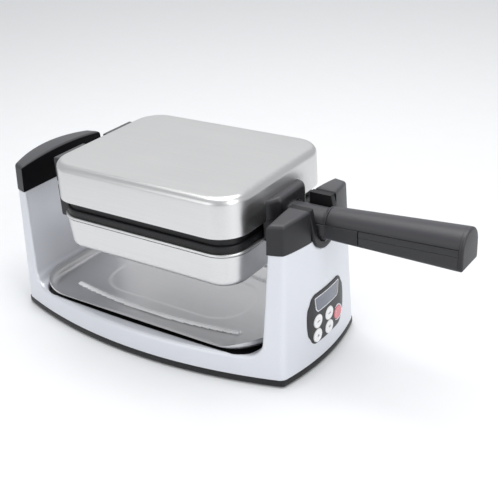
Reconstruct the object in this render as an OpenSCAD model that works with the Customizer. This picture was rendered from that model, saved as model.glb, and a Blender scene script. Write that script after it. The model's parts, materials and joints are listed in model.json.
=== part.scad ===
// Rotary waffle maker: a U-shaped base with two posts, a head that turns between them,
// a lid hinged at the left, a split handle at the right and a drip tray on the deck.
// X runs from the hinge side to the handle side, Y to the back and Z up, in millimetres.

/* [Base] */
// Width of the base between its corners
base_w = 349; // [345:1:420]
// Depth of the base at its corners
base_d = 140; // [130:1:175]
// How far the front and back bow out past the corners
side_bow = 28; // [15:1:40]
// How far the two ends bow out past the corners
end_bow = 9.6; // [5:0.2:15]
// Rounding of the base corners
base_corner_r = 9; // [8.5:0.5:10]
// Wall of the moulded parts
wall = 2.4; // [1.8:0.1:3]
// Height of the black bottom cover's rim above the table
rim_top = 9; // [7:0.5:12]
// Height of the front band between the posts
band_top = 31; // [28:0.5:40]
// Height where the post caps start
post_top = 141; // [136:0.5:143]
// Height of the cap's ends
cap_top = 170.6; // [168:0.2:176]
// Extra height of the cap at its middle
cap_crown = 4.6; // [2:0.2:8]
// How much narrower the posts are at the top than at the bottom, at each side
post_taper = 9; // [4:0.5:14]
// Thickness of the posts at their corners
post_t = 15.5; // [13:0.5:22]
// How far each post's inner face leans towards the head at the deck
post_lean = 6.5; // [3:0.5:9]
// Rounding between the band and the posts
bay_fillet = 16; // [12:1:22]
// Height of the rubber feet below the bottom cover
foot_h = 1.5; // [1:0.1:4]
// Radius of a rubber foot
foot_r = 9; // [6:0.5:12]
// Radius of the cord's hole in its gland
cord_r = 3.2; // [2.5:0.1:3.6]

/* [Head] */
// Height of the turning axis
axis_z = 151; // [148:0.5:160]
// Middle of the head along X, from the middle of the base
head_x = 20.8; // [15:0.2:25]
// Width of the upper cover
head_w = 233.6; // [194:0.2:236]
// Depth of the upper cover
head_d = 177.4; // [150:1:190]
// Corner radius of the upper cover seen from above
head_corner_r = 31; // [24:1:40]
// Height of the upper cover
lid_h = 40.4; // [36:0.2:46]
// Radius of the cover's rounded shoulder
shoulder_r = 8; // [5:0.5:10]
// How much the upper cover's sides lean in
lid_lean = 0.5; // [0.3:0.1:3]
// How much the lower cover's sides lean in
pan_lean = 2.4; // [0.3:0.1:5]
// Height of the lower cover
pan_h = 34; // [30:0.5:38]
// Height of the black band between the two covers
band_h = 17.9; // [16:0.1:22]
// Thickness of the steel covers
sheet = 1; // [0.8:0.1:1.5]
// Height of the parting plane above the turning axis
parting_up = 6; // [5:0.5:8]
// Spacing of the waffle studs
stud_pitch = 20; // [15:0.5:24]
// Width of a waffle stud
stud_w = 11.5; // [8:0.5:13]

/* [Handle] */
// Radius of the round journal that turns in the cradle
journal_r = 16; // [14:0.5:18]
// Wall of the cradle liner
liner_t = 7.4; // [5:0.2:9]
// How far the handle reaches past the right post
handle_reach = 143.9; // [110:0.1:160]
// Gap between the right post and the round upper grip
grip_gap = 7.9; // [6:0.1:14]
// Length of the handle's arm that shows before the lower grip
arm_showing = 34; // [20:1:46]
// Half width of the handle at its start
grip_r0 = 14.4; // [12:0.2:15.8]
// Half width of the handle at its end
grip_r1 = 18.3; // [15:0.1:21]
// Bottom of the handle below the turning axis
grip_drop = 10; // [8:0.5:13]
// Rise of the handle's seam along its length
seam_rise = 7.5; // [4:0.5:10]

/* [Hinge and axle] */
// Radius of the left axle
axle_r = 6.5; // [5:0.5:7.5]
// Radius of the lid's hinge pins
hinge_pin_r = 2.5; // [2:0.1:3]
// Half width of the hinge
hinge_half = 62; // [50:1:66]
// Running clearance round pins and axles
running = 0.05; // [0.02:0.01:0.09]
// Gap between parts that move past each other
gap = 0.4; // [0.3:0.1:0.8]

/* [Tray] */
// Gap between the tray and each post at the deck
tray_side_gap = 6; // [4:0.5:16]
// How far the tray's front edge sits behind the front of the base
tray_set_back = 14; // [12:1:26]
// Corner radius of the drip tray
tray_r = 42; // [30:1:50]
// Thickness of the tray's sheet
tray_t = 0.8; // [0.6:0.1:1.2]
// Height of the tray's side flanges
tray_h = 10.4; // [9:0.2:14]
// Radius of the bend between the tray's floor and flanges
tray_bend = 8; // [6:0.5:8.5]
// Height of the tray's front and back rims
tray_lip = 3; // [2:0.5:6]

/* [Control panel] */
// Width of the panel
panel_w = 70; // [64:1:80]
// Lowest point of the panel
panel_low = 28; // [27:0.5:32]
// Height of the panel
panel_h = 56; // [56:1:62]
// Radius of a button
button_r = 7.2; // [6:0.1:7.3]
// How deep the panel sits in the post's wall
panel_sink = 1.2; // [0.8:0.1:1.6]
// How far a button travels
button_travel = 1.2; // [0.8:0.1:1.5]
// How far a button stands out of the panel
button_proud = 1.8; // [1.6:0.1:2.5]

/* [Hidden] */
$fn = 64;
eps = 0.01;
far = 400;

base_half = base_w / 2;
end_x = base_half + end_bow;
front_y = base_d / 2 + side_bow;
post_in_top = base_half - post_t;
post_in_low = post_in_top - post_lean;
deck_floor = band_top - 7;
rim_proud = 0.4;
handle_end = end_x + handle_reach;
grip_start = end_x + grip_gap;
lower_grip_start = grip_start + arm_showing;
frame_shift = -(handle_reach - rim_proud) / 2;
bay_wall = 5;
gland_z = 15.5;
gland_r = 5.2;
gland_l = 14;
flange_t = 1.6;
foot_x = base_half - 24.5;
foot_y = base_d / 2 - 14;
foot_spots = [for (sy = [-1, 1], sx = [-1, 1]) [sx * foot_x, sy * foot_y]];
screw_x = 0.86;
screw_y = 0.7;
rib_spacing = 90;
rib_half = 60;
rib_t = 3;
// the housing's slanted faces: how far one face moves in for each millimetre of height
lean_rate = post_taper / (post_top - rim_top);

parting_z = axis_z + parting_up;
lid_top = parting_z - 0.2 + lid_h;
rim_z = parting_z - band_h - 0.2;
rim_h = 3.5;
rim_w = head_w - 6;
rim_d = head_d - 6;
rim_corner_r = head_corner_r - 2;
head_left = head_x - head_w / 2;
head_right = head_x + head_w / 2;
frame_in = 12;
plate_in = 20;
plate_floor = 3;
ledge_t = 2.5;
frame_wall = 3.6;
plate_depth = parting_z - 0.6 - (rim_z + ledge_t);
stud_h = plate_depth - plate_floor - 3;
heater_r = 3.2;
heater_in = 45;
heater_shift = 24;
reflector_in = 20;
reflector_t = 0.6;
reflector_corner = 14;
reflector_flange = 8;

hinge_x = head_left - 7;
hinge_t = 10;
knuckle_r = 5;
knuckle_gap = 1;
leaf_in = 16;
knuckle_mid = 39;
hinge_top = lid_top - 6.5;
hinge_low = rim_z - 15;
axle_end = -(post_in_top + 9);
bush_r = axle_r + 3;
bush_l = 7;

block_x = head_right + 12.4;
block_half = 24;
block_shoulder = 8;
block_up = 23;
block_down = 26;
liner_r = journal_r + gap;
liner_out = liner_r + liner_t;
journal_end = end_x + 2;
handle_cap_t = 4;
grip_z0 = axis_z - grip_drop + grip_r0;
grip_z1 = axis_z - grip_drop + 1 + grip_r1;
seam_drop = 6.5;
seam_reach = 60;
spine_half = 6;
spine_up = 5.5;
spine_t = 4;
spine_l = 66;
spine_end = 12;
screw_in = 24;
screw_end = 28;
screw_side = 9.6;
screw_low = 7;
screw_r = 1.4;
screw_head_r = 2.8;
screw_head = 1.8;
screw_l = 9.5;

tray_z = band_top + 0.6;
tray_w = 2 * (post_in_low - tray_side_gap);
tray_d = 2 * (front_y - tray_set_back);
panel_corner = 9;
panel_side_in = 5;
panel_side_r = 66;
panel_mid = panel_low + panel_h / 2;
window_w = 46;
window_h = 16;
window_z = panel_low + 43.6;
board_x = end_x - 17;
power_x = end_x - 14;
board_t = 1.6;
switch_top = board_x + board_t + 4;
plunger_r = 2.5;
plunger_l = 3;
button_back = switch_top + button_travel + 0.2;
// places of the buttons across and above the panel's low edge
button_spots = [[-18, 24.4], [2.5, 23.4], [-19, 8.7], [2, 7.9], [20.4, 14.8]];

steel = [0.78, 0.78, 0.77];
charcoal = [0.2, 0.2, 0.22];
black = [0.06, 0.06, 0.07];
silver = [0.87, 0.89, 0.93];
copper = [0.72, 0.45, 0.2];
board_green = [0.1, 0.35, 0.2];

// Everything is drawn about the middle of the base, then moved so that the
// origin is under the middle of the whole object, handle included.
module place() {
    translate([frame_shift, 0, 0]) children();
}

module along_x(x0, x1, r) {
    translate([x0, 0, 0]) rotate([0, 90, 0]) cylinder(r = r, h = x1 - x0);
}

module along_y(y0, y1, r) {
    translate([0, y1, 0]) rotate([90, 0, 0]) cylinder(r = r, h = y1 - y0);
}

// A box given by its low and high corners
module block(low, high) {
    translate(low) cube(high - low);
}

module round_rect(w, d, r) {
    square([w - 2 * r, d], center = true);
    square([w, d - 2 * r], center = true);
    for (sx = [-1, 1], sy = [-1, 1])
        translate([sx * (w / 2 - r), sy * (d / 2 - r)]) circle(r);
}

// ---------- base ----------

// Outline of the base: four shallow arcs meeting in rounded corners. A corner circle
// touches both arcs from inside, so its centre follows from the two arcs' own centres.
module base_plan(grow, half_d) {
    front_r = (pow(base_half, 2) + pow(side_bow, 2)) / (2 * side_bow);
    end_r = (pow(half_d, 2) + pow(end_bow, 2)) / (2 * end_bow);
    front_c = [0, half_d + side_bow - front_r];
    end_c = [base_half + end_bow - end_r, 0];
    a = front_r - base_corner_r;
    b = end_r - base_corner_r;
    span = norm(end_c - front_c);
    along = (a * a - b * b + span * span) / (2 * span);
    across = sqrt(a * a - along * along);
    u = (end_c - front_c) / span;
    corner = front_c + along * u + across * [u.y, -u.x];
    t1 = corner + (base_corner_r + grow) * (corner - front_c) / a;
    t2 = corner + (base_corner_r + grow) * (corner - end_c) / b;
    slope = (t2.y - t1.y) / (t2.x - t1.x);
    reach_y = t1.y - slope * t1.x;
    reach_x = -reach_y / slope;
    intersection() {
        translate(front_c) circle(front_r + grow, $fn = 120);
        translate(-front_c) circle(front_r + grow, $fn = 120);
        translate(end_c) circle(end_r + grow, $fn = 120);
        translate(-end_c) circle(end_r + grow, $fn = 120);
        polygon([[reach_x, 0], [0, reach_y], [-reach_x, 0], [0, -reach_y]]);
    }
    for (sx = [-1, 1], sy = [-1, 1])
        translate([sx * corner.x, sy * corner.y]) circle(base_corner_r + grow, $fn = 32);
}

// The outer form of base and caps, which narrows towards the top
module base_form(z0, z1, grow = 0) {
    hull() {
        translate([0, 0, z0])
            linear_extrude(eps) base_plan(grow, base_d / 2 - (z0 - rim_top) * lean_rate);
        translate([0, 0, z1 - eps])
            linear_extrude(eps) base_plan(grow, base_d / 2 - (z1 - rim_top) * lean_rate);
    }
}

// The bay between the posts, seen from the front, with rounded lower corners
module bay_profile(grow = 0) {
    low = band_top - grow;
    r = bay_fillet;
    lean = (post_in_top - post_in_low) / (post_top - band_top);
    x_low = post_in_low - grow;
    x_top = post_in_top - grow + lean * (2 * axis_z - post_top);
    difference() {
        polygon([[-x_low, low], [x_low, low], [x_top, 2 * axis_z], [-x_top, 2 * axis_z]]);
        if (grow == 0)
            for (s = [-1, 1])
                translate([s * x_low, low])
                    difference() {
                        translate([-r, 0]) square([2 * r, r]);
                        translate([-s * r, r]) circle(r);
                        translate([s < 0 ? r : -r - far, -eps]) square([far, far]);
                    }
    }
}

module bay(grow = 0) {
    rotate([90, 0, 0]) linear_extrude(far, center = true) bay_profile(grow);
}

// The pocket inside the band that takes the deck plate and the tray
module deck_pocket(z0, z1, grow = 0) {
    intersection() {
        translate([0, 0, z0]) linear_extrude(z1 - z0)
            base_plan(-bay_wall - grow, base_d / 2 - 3);
        block([-post_in_low + grow, -far, z0], [post_in_low - grow, far, z1]);
    }
}

module notch(r, x0, x1) {
    translate([0, 0, axis_z]) along_x(x0, x1, r);
    block([x0, -r, axis_z], [x1, r, cap_top + far / 4]);
}

module on_panel() {
    for (i = [0:len(button_spots) - 1])
        translate([0, button_spots[i][0], panel_low + button_spots[i][1]]) children();
}

module base_housing() {
    color(silver) place() difference() {
        base_form(rim_top, post_top);
        bay();
        deck_pocket(deck_floor, band_top + 1);
        // the hollow inside the band and the posts
        difference() {
            base_form(rim_top - 1, post_top - wall, -wall);
            intersection() {
                bay(-wall);
                block([-far, -far, band_top], [far, far, far]);
            }
            block([-post_in_low - wall, -far, deck_floor - wall],
                [post_in_low + wall, far, band_top + bay_fillet + wall]);
        }
        notch(liner_out, base_half - 2 * post_t, end_x + 1);
        intersection() {
            face_layer(-panel_sink, 5);
            panel_outline();
        }
        on_panel() along_x(board_x + 3, end_x + 1, button_r + gap);
        block([board_x, -window_w / 2 + 1, window_z - window_h / 2 + 1],
            [end_x + 1, window_w / 2 - 1, window_z + window_h / 2 - 1]);
        translate([0, 0, gland_z]) {
            along_y(front_y - gland_l + 2, front_y + 1, gland_r);
            along_y(front_y - flange_t, front_y + 1, gland_r + 1);
        }
    }
}

module bottom_cover() {
    color(black) place() difference() {
        translate([0, 0, foot_h]) linear_extrude(rim_top - foot_h) base_plan(rim_proud, base_d / 2);
        translate([0, 0, foot_h + wall]) linear_extrude(rim_top)
            base_plan(-wall, base_d / 2);
        for (p = foot_spots)
            translate([p[0], p[1], foot_h - 1]) cylinder(r = foot_r, h = 2.2);
        for (p = foot_spots)
            translate([p[0] * screw_x, p[1] * screw_y, 0]) cylinder(r = 1.6, h = 8);
    }
}

module rubber_feet() {
    color(charcoal) place()
        for (p = foot_spots) translate([p[0], p[1], 0]) cylinder(r = foot_r, h = foot_h + 1.2);
}

module base_screws() {
    color(steel) place()
        for (p = foot_spots) translate([p[0] * screw_x, p[1] * screw_y, 0]) {
            translate([0, 0, foot_h + wall]) cylinder(r = 3, h = 1.6);
            translate([0, 0, foot_h]) cylinder(r = 1.6, h = wall + 1);
        }
}

module deck_plate() {
    color(black) place() {
        deck_pocket(deck_floor, deck_floor + 2, 0.3);
        for (i = [-1:1])
            block([i * rib_spacing - rib_t / 2, -rib_half, deck_floor + 2],
                [i * rib_spacing + rib_t / 2, rib_half, tray_z]);
    }
}

// ---------- post caps ----------

module cap_form(grow = 0) {
    crown_r = (pow(base_d / 2 - post_taper, 2) + pow(cap_crown, 2)) / (2 * cap_crown);
    intersection() {
        base_form(post_top, cap_top + cap_crown, grow);
        translate([0, 0, cap_top + cap_crown + grow - crown_r])
            rotate([0, 90, 0]) cylinder(r = crown_r, h = 2 * far, center = true, $fn = 256);
    }
}

module left_post_cap() {
    color(charcoal) place() difference() {
        intersection() {
            cap_form();
            block([-far, -far, post_top], [-post_in_top, far, far]);
        }
        intersection() {
            translate([0, 0, -wall]) cap_form(-wall);
            block([-far, -far, post_top - 1], [-post_in_top - wall, far, far]);
        }
        translate([0, 0, axis_z]) along_x(-post_in_top - wall - 1, -post_in_top + 1, bush_r);
    }
}

// The right post's cap is two horns, one at each side of the cradle
module right_horn(s) {
    near = liner_out + gap / 2;
    color(charcoal) place() difference() {
        intersection() {
            cap_form();
            block([post_in_top, s > 0 ? near : -far, post_top], [far, s > 0 ? far : -near, far]);
        }
        intersection() {
            translate([0, 0, -wall]) cap_form(-wall);
            block([post_in_top + wall, s > 0 ? near + wall : -far, post_top - 1],
                [far, s > 0 ? far : -near - wall, far]);
        }
    }
}

module cradle_liner() {
    top = cap_top - 1;
    color(black) place() difference() {
        intersection() {
            notch(liner_out, block_x + 1.2, end_x + 1.2);
            block([0, -far, 0], [far, far, top]);
        }
        notch(liner_r, 0, far);
    }
}

module axle_bush() {
    color(copper) place() translate([0, 0, axis_z]) difference() {
        union() {
            along_x(-post_in_top - bush_l, -post_in_top, bush_r);
            along_x(-post_in_top, -post_in_top + 1.5, bush_r + 0.4);
        }
        along_x(-post_in_top - bush_l - 1, -post_in_top + 3, axle_r + running);
    }
}

// ---------- control panel ----------

// Points along an arc, from one angle to another
function arc(c, r, a0, a1, n = 8) =
    [for (i = [0:n]) c + r * [cos(a0 + (a1 - a0) * i / n), sin(a0 + (a1 - a0) * i / n)]];

// The panel's outline: bulging sides between rounded corners
module panel_outline() {
    corner = panel_corner;
    side = panel_w / 2;
    x = side - panel_side_in - corner;
    z0 = panel_low + corner;
    z1 = panel_low + panel_h - corner;
    bulge = asin((z1 - z0) / 2 / panel_side_r);
    side_c = [side - panel_side_r, (z0 + z1) / 2];
    right = concat(
        arc([x, z0], corner, -90, -bulge, 6),
        arc(side_c, panel_side_r, -bulge * 0.8, bulge * 0.8, 8),
        arc([x, z1], corner, bulge, 90, 6));
    left = [for (i = [len(right) - 1:-1:0]) [-right[i].x, right[i].y]];
    rotate([90, 0, 90]) linear_extrude(far) polygon(concat(right, left));
}

module window_outline(grow = 0) {
    w = window_w + 2 * grow;
    h = window_h + 2 * grow;
    rotate([90, 0, 90]) translate([0, window_z, 0]) linear_extrude(far) round_rect(w, h, 2);
}

// A curved layer on the right post's outer face, from one depth to another
module face_layer(inner, outer) {
    half_d = base_d / 2 - (panel_mid - rim_top) * lean_rate;
    r = (pow(half_d, 2) + pow(end_bow, 2)) / (2 * end_bow);
    translate([end_x - r, 0, panel_low - 4]) difference() {
        cylinder(r = r + outer, h = panel_h + 8, $fn = 256);
        translate([0, 0, -1]) cylinder(r = r + inner, h = panel_h + 10, $fn = 256);
    }
}

module panel_bezel() {
    color(charcoal) place() difference() {
        intersection() {
            face_layer(-panel_sink, 0.9);
            panel_outline();
        }
        window_outline(gap / 2);
        on_panel() along_x(board_x, far, button_r + gap);
    }
}

module display_window() {
    color([0.5, 0.53, 0.6]) place() intersection() {
        face_layer(-panel_sink, 0.6);
        window_outline();
    }
}

module display_module() {
    color([0.35, 0.4, 0.42]) place()
        block([board_x + board_t, -window_w / 2 + 2, window_z - window_h / 2 + 2],
            [board_x + 8, window_w / 2 - 2, window_z + window_h / 2 - 2]);
}

module control_board() {
    color(board_green) place()
        block([board_x, -33, panel_low], [board_x + board_t, 33, panel_low + panel_h - 1]);
}

module button_switches() {
    color(black) place() on_panel() {
        block([board_x + board_t, -3, -3], [switch_top - 1, 3, 3]);
        along_x(switch_top - 1, switch_top, 1.7);
    }
}

module buzzer() {
    color(black) place() translate([0, -26, panel_low + panel_h - 9])
        along_x(board_x - 6, board_x, 6);
}

// Where the panel's face is at a place across the panel
function face_x(y) = base_half + end_bow * (1 - pow(y / (base_d / 2), 2));

module button(i, tint) {
    spot = button_spots[i];
    color(tint) place() translate([0, spot[0], panel_low + spot[1]]) {
        along_x(button_back + plunger_l, face_x(abs(spot[0])) + button_proud, button_r);
        along_x(button_back, button_back + plunger_l, plunger_r);
    }
}

// ---------- inner base ----------

module power_board() {
    color(board_green) place()
        block([-power_x, -36, 24], [-power_x + board_t, 36, 96]);
}

module relay() {
    color([0.15, 0.3, 0.6]) place() block([-power_x + board_t, -24, 60], [-power_x + 11, -6, 80]);
}

module terminal_block() {
    color([0.8, 0.8, 0.75]) place() block([-power_x + board_t, 4, 32], [-power_x + 11, 32, 44]);
}

module cord_gland() {
    color(black) place() translate([0, 0, gland_z]) difference() {
        union() {
            along_y(front_y - gland_l, front_y - flange_t, gland_r);
            along_y(front_y - flange_t, front_y - 0.2, gland_r + 1);
        }
        along_y(front_y - 20, front_y + 9, cord_r);
    }
}

// ---------- drip tray ----------

// Shallow pan with curved sides; the front and back rims are lower than the side flanges
module drip_tray() {
    color(steel) place() difference() {
        translate([0, 0, tray_z + tray_h]) mirror([0, 0, 1]) difference() {
            cover_form(tray_w, tray_d, tray_h, tray_r, tray_bend, 0.3);
            translate([0, 0, -eps])
                cover_form(tray_w - 2 * tray_t, tray_d - 2 * tray_t, tray_h - tray_t,
                    tray_r - tray_t, tray_bend - tray_t, 0.3);
        }
        block([-tray_w / 2 + tray_r * 0.6, -far, tray_z + tray_lip],
            [tray_w / 2 - tray_r * 0.6, far, far]);
    }
}

// ---------- covers ----------

// A low box with a rounded plan, sides that lean in a little towards the closed end,
// and a rounded shoulder there
module cover_form(w, d, h, corner, shoulder, lean) {
    steps = 4;
    hull() {
        linear_extrude(eps) round_rect(w, d, corner, $fn = 32);
        for (i = [0:steps]) {
            a = 90 * i / steps;
            in = lean + shoulder * (1 - cos(a));
            translate([0, 0, h - shoulder + (shoulder - eps) * sin(a)])
                linear_extrude(eps)
                    round_rect(w - 2 * in, d - 2 * in, max(corner - in, 4), $fn = 32);
        }
    }
}

// A cover pressed from sheet, open at z = 0
module pressed_cover(w, d, h, corner, lean) {
    difference() {
        cover_form(w, d, h, corner, shoulder_r, lean);
        translate([0, 0, -eps])
            cover_form(w - 2 * sheet, d - 2 * sheet, h - sheet, corner - sheet,
                shoulder_r - sheet, lean);
    }
}

module upper_cover() {
    color(steel) place() translate([head_x, 0, parting_z - 0.2])
        pressed_cover(head_w, head_d, lid_h, head_corner_r, lid_lean);
}

module lower_cover() {
    color(steel) place() translate([head_x, 0, rim_z - rim_h]) mirror([0, 0, 1])
        pressed_cover(rim_w - 1, rim_d - 1, pan_h, rim_corner_r, pan_lean);
}

// A flat or upright band that follows the head's outline
module head_band(z0, z1, w, d, corner, in) {
    translate([head_x, 0, z0]) difference() {
        linear_extrude(z1 - z0) round_rect(w, d, corner);
        translate([0, 0, -1]) linear_extrude(z1 - z0 + 2)
            round_rect(w - 2 * in, d - 2 * in, max(corner - in, 3));
    }
}

module lower_rim() {
    color(steel) place() {
        head_band(rim_z - rim_h, rim_z - 1.2, rim_w, rim_d, rim_corner_r, 6);
        head_band(rim_z - 1.2, rim_z, rim_w - 1.6, rim_d - 1.6, rim_corner_r - 0.8, 5.2);
    }
}

module lower_frame() {
    color(black) place() {
        head_band(rim_z, rim_z + ledge_t, rim_w - 3.2, rim_d - 3.2, rim_corner_r - 1.6, frame_in);
        head_band(rim_z + ledge_t, parting_z - 0.6, rim_w - frame_in, rim_d - frame_in,
            rim_corner_r - frame_in / 2, frame_wall);
    }
}

module upper_frame() {
    w = head_w - 2 * (sheet + lid_lean + 0.3);
    d = head_d - 2 * (sheet + lid_lean + 0.3);
    top = parting_z + 0.6 + plate_depth;
    color(black) place() {
        head_band(parting_z + 0.6, parting_z + 0.6 + ledge_t, w, d, head_corner_r - sheet,
            (w - (rim_w - plate_in + 0.4)) / 2);
        head_band(parting_z + 0.6 + ledge_t, top, rim_w - frame_in, rim_d - frame_in,
            rim_corner_r - frame_in / 2, frame_wall);
        head_band(top, top + ledge_t, w, d, head_corner_r - sheet, 17);
    }
}

// A cast plate: a shallow pan with a grid of studs, drawn with its face up
module waffle_plate() {
    w = rim_w - plate_in;
    d = rim_d - plate_in;
    corner = rim_corner_r - plate_in / 2;
    cols = floor((w - 16) / stud_pitch);
    rows = floor((d - 16) / stud_pitch);
    difference() {
        linear_extrude(plate_depth) round_rect(w, d, corner);
        translate([0, 0, plate_floor]) linear_extrude(plate_depth)
            round_rect(w - 8, d - 8, corner - 4);
    }
    for (i = [0:cols - 1], j = [0:rows - 1])
        if (!((i == 0 || i == cols - 1) && (j == 0 || j == rows - 1)))
            translate([(i - (cols - 1) / 2) * stud_pitch, (j - (rows - 1) / 2) * stud_pitch,
                plate_floor - 0.5])
                linear_extrude(stud_h + 0.5) square(stud_w, center = true);
    // the ridge that parts the four waffles
    translate([0, 0, plate_floor + (plate_depth - plate_floor - 1) / 2 - 0.5]) {
        cube([3, d - 4, plate_depth - plate_floor - 1], center = true);
        cube([w - 4, 3, plate_depth - plate_floor - 1], center = true);
    }
}

module lower_plate() {
    color(charcoal) place() translate([head_x, 0, rim_z + ledge_t]) waffle_plate();
}

module upper_plate() {
    color(charcoal) place() translate([head_x, 0, parting_z + 0.6 + plate_depth])
        mirror([0, 0, 1]) waffle_plate();
}

// A U-shaped tube heater lying in the plane z = 0
module heater_loop() {
    half_l = rim_w / 2 - heater_in;
    half_d = rim_d / 2 - heater_in;
    translate([half_l, 0, 0]) rotate([0, 0, -90])
        rotate_extrude(angle = 180) translate([half_d, 0]) circle(heater_r, $fn = 32);
    for (s = [-1, 1])
        translate([0, s * half_d, 0]) along_x(-half_l, half_l + eps, heater_r, $fn = 32);
}

module lower_heater() {
    color(copper) place() translate([head_x - heater_shift, 0, rim_z + ledge_t - heater_r]) heater_loop();
}

module upper_heater() {
    color(copper) place()
        translate([head_x - heater_shift, 0, parting_z + 0.6 + plate_depth + heater_r]) heater_loop();
}

// A thin pan that throws the heat back at the plate, drawn open side up
module reflector(h) {
    w = rim_w - 2 * reflector_in;
    d = rim_d - 2 * reflector_in;
    difference() {
        linear_extrude(h) round_rect(w, d, reflector_corner);
        translate([0, 0, reflector_t]) linear_extrude(h) reflector_hollow(w, d);
    }
    translate([0, 0, h - reflector_t]) difference() {
        linear_extrude(reflector_t) round_rect(w + 2 * reflector_flange, d + 2 * reflector_flange,
            reflector_corner + reflector_flange);
        translate([0, 0, -1]) linear_extrude(3) reflector_hollow(w, d);
    }
}

module reflector_hollow(w, d) {
    round_rect(w - 2 * reflector_t, d - 2 * reflector_t, reflector_corner - reflector_t);
}

module lower_reflector() {
    h = 16;
    color(steel) place() translate([head_x, 0, rim_z - h]) reflector(h);
}

module upper_reflector() {
    h = 14;
    color(steel) place() translate([head_x, 0, parting_z + 0.6 + plate_depth + ledge_t + h])
        mirror([0, 0, 1]) reflector(h);
}

module thermostat() {
    color(silver) place() translate([head_x, 0, rim_z + ledge_t]) mirror([0, 0, 1]) {
        cylinder(r = 8, h = 6);
        translate([0, 0, 6]) cylinder(r = 6.5, h = 5);
    }
}

module thermal_fuse() {
    color(steel) place()
        translate([head_x, 0, parting_z + 0.6 + plate_depth + 2]) along_x(-14, 14, 2);
}

// ---------- hinge and axle ----------

module knuckle(y0, y1, up) {
    translate([hinge_x, 0, parting_z]) {
        along_y(y0, y1, knuckle_r);
        block([-knuckle_r, y0, up > 0 ? 0 : -20], [knuckle_r, y1, up > 0 ? 20 : 0]);
    }
}

module lower_hinge() {
    slab_top = parting_z - knuckle_r - knuckle_gap;
    color(charcoal) place() difference() {
        union() {
            block([hinge_x - hinge_t / 2, -hinge_half, hinge_low],
                [head_x - rim_w / 2, hinge_half, slab_top]);
            for (s = [-1, 1])
                knuckle(s > 0 ? knuckle_mid : -hinge_half, s > 0 ? hinge_half : -knuckle_mid, -1);
            block([hinge_x - hinge_t / 2, -leaf_in + 2, axis_z - 12],
                [hinge_x + hinge_t / 2, leaf_in - 2, axis_z + axle_r + 3]);
        }
        translate([hinge_x, 0, parting_z]) along_y(-far, -leaf_in, hinge_pin_r);
        translate([hinge_x, 0, parting_z]) along_y(leaf_in, far, hinge_pin_r);
        translate([0, 0, axis_z]) along_x(hinge_x - hinge_t, hinge_x + hinge_t / 2 - 2, axle_r);
    }
}

module upper_hinge() {
    leaf_low = parting_z + knuckle_r + knuckle_gap;
    color(charcoal) place() difference() {
        for (s = [-1, 1]) {
            y0 = s > 0 ? leaf_in : -hinge_half;
            y1 = s > 0 ? hinge_half : -leaf_in;
            block([hinge_x - hinge_t / 2, y0, leaf_low], [head_left, y1, hinge_top]);
            knuckle(s > 0 ? leaf_in : -knuckle_mid + gap, s > 0 ? knuckle_mid - gap : -leaf_in, 1);
        }
        translate([hinge_x, 0, parting_z]) along_y(-far, far, hinge_pin_r + running);
    }
}

module hinge_pins() {
    color(steel) place() translate([hinge_x, 0, parting_z])
        for (s = [-1, 1])
            along_y(s > 0 ? leaf_in : -hinge_half, s > 0 ? hinge_half : -leaf_in, hinge_pin_r);
}

module left_axle() {
    color(steel) place() translate([0, 0, axis_z]) difference() {
        along_x(axle_end - 4, hinge_x + hinge_t / 2 - 2, axle_r);
        difference() {
            along_x(axle_end, axle_end + 1.6, axle_r + 1);
            along_x(axle_end - 1, axle_end + 3, axle_r - 1);
        }
    }
}

module axle_clip() {
    color(steel) place() translate([0, 0, axis_z]) difference() {
        along_x(axle_end + 0.1, axle_end + 1.5, axle_r + 3);
        along_x(axle_end - 1, axle_end + 3, axle_r - 1);
        block([axle_end - 1, -2, 0], [axle_end + 3, 2, far]);
    }
}

// ---------- handle ----------

// The handle's cross-section: a round top over a flat bottom, as a thin slice
module grip_slice(x, r, z, low, in) {
    translate([x, 0, 0]) rotate([90, 0, 90]) linear_extrude(eps) {
        translate([0, z]) circle(r - in, $fn = 40);
        translate([-r + in, low + in]) square([2 * (r - in), z - low - in]);
    }
}

function share(x) = (x - grip_start) / (handle_end - grip_start);

module grip_form(x0, x1, in = 0) {
    low = axis_z - grip_drop;
    hull()
        for (x = [x0, x1 - eps])
            grip_slice(x, grip_r0 + (grip_r1 - grip_r0) * share(x),
                grip_z0 + (grip_z1 - grip_z0) * share(x), low + share(x), in);
}

// The half-space above or below the handle's seam, moved by a given amount
module beside_seam(side, move) {
    x0 = head_right - seam_reach;
    x2 = handle_end + 10;
    z0 = parting_z + move;
    z1 = parting_z + seam_rise + move;
    rotate([90, 0, 0]) linear_extrude(far, center = true)
        polygon([[x0, z0], [journal_end, z0], [x2, z1],
            [x2, z0 + side * seam_reach],
            [x0, z0 + side * seam_reach]]);
}

module journal() {
    translate([0, 0, axis_z]) along_x(block_x, journal_end, journal_r);
    hull() {
        translate([journal_end - eps, 0, axis_z]) rotate([0, 90, 0])
            cylinder(r = journal_r, h = eps, $fn = 40);
        grip_slice(grip_start - eps, grip_r0, grip_z0, axis_z - grip_drop, 0);
    }
}

module handle_block(z0, z1, inner_x) {
    hull() {
        block([inner_x, -block_half - block_shoulder, z0],
            [inner_x + 1, block_half + block_shoulder, z1 - 3]);
        block([inner_x, -block_half, z0], [block_x - 2, block_half, z1]);
        block([inner_x, -block_half + 2, z0], [block_x, block_half - 2, z1 - 2]);
    }
}

// The bars of the two arms that reach into the grips
module upper_spine() {
    block([grip_start - 1, -spine_half, parting_z + spine_up],
        [grip_start + spine_l, spine_half, parting_z + spine_up + spine_t]);
}

module lower_spine() {
    block([lower_grip_start - 1, -spine_half, axis_z - spine_t],
        [handle_end - spine_end, spine_half, axis_z + spine_t]);
}

module lower_handle_arm() {
    color(charcoal) place() {
        intersection() {
            union() {
                journal();
                grip_form(grip_start, lower_grip_start);
            }
            beside_seam(-1, -gap / 2);
        }
        lower_spine();
        mirror_block();
    }
}

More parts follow.
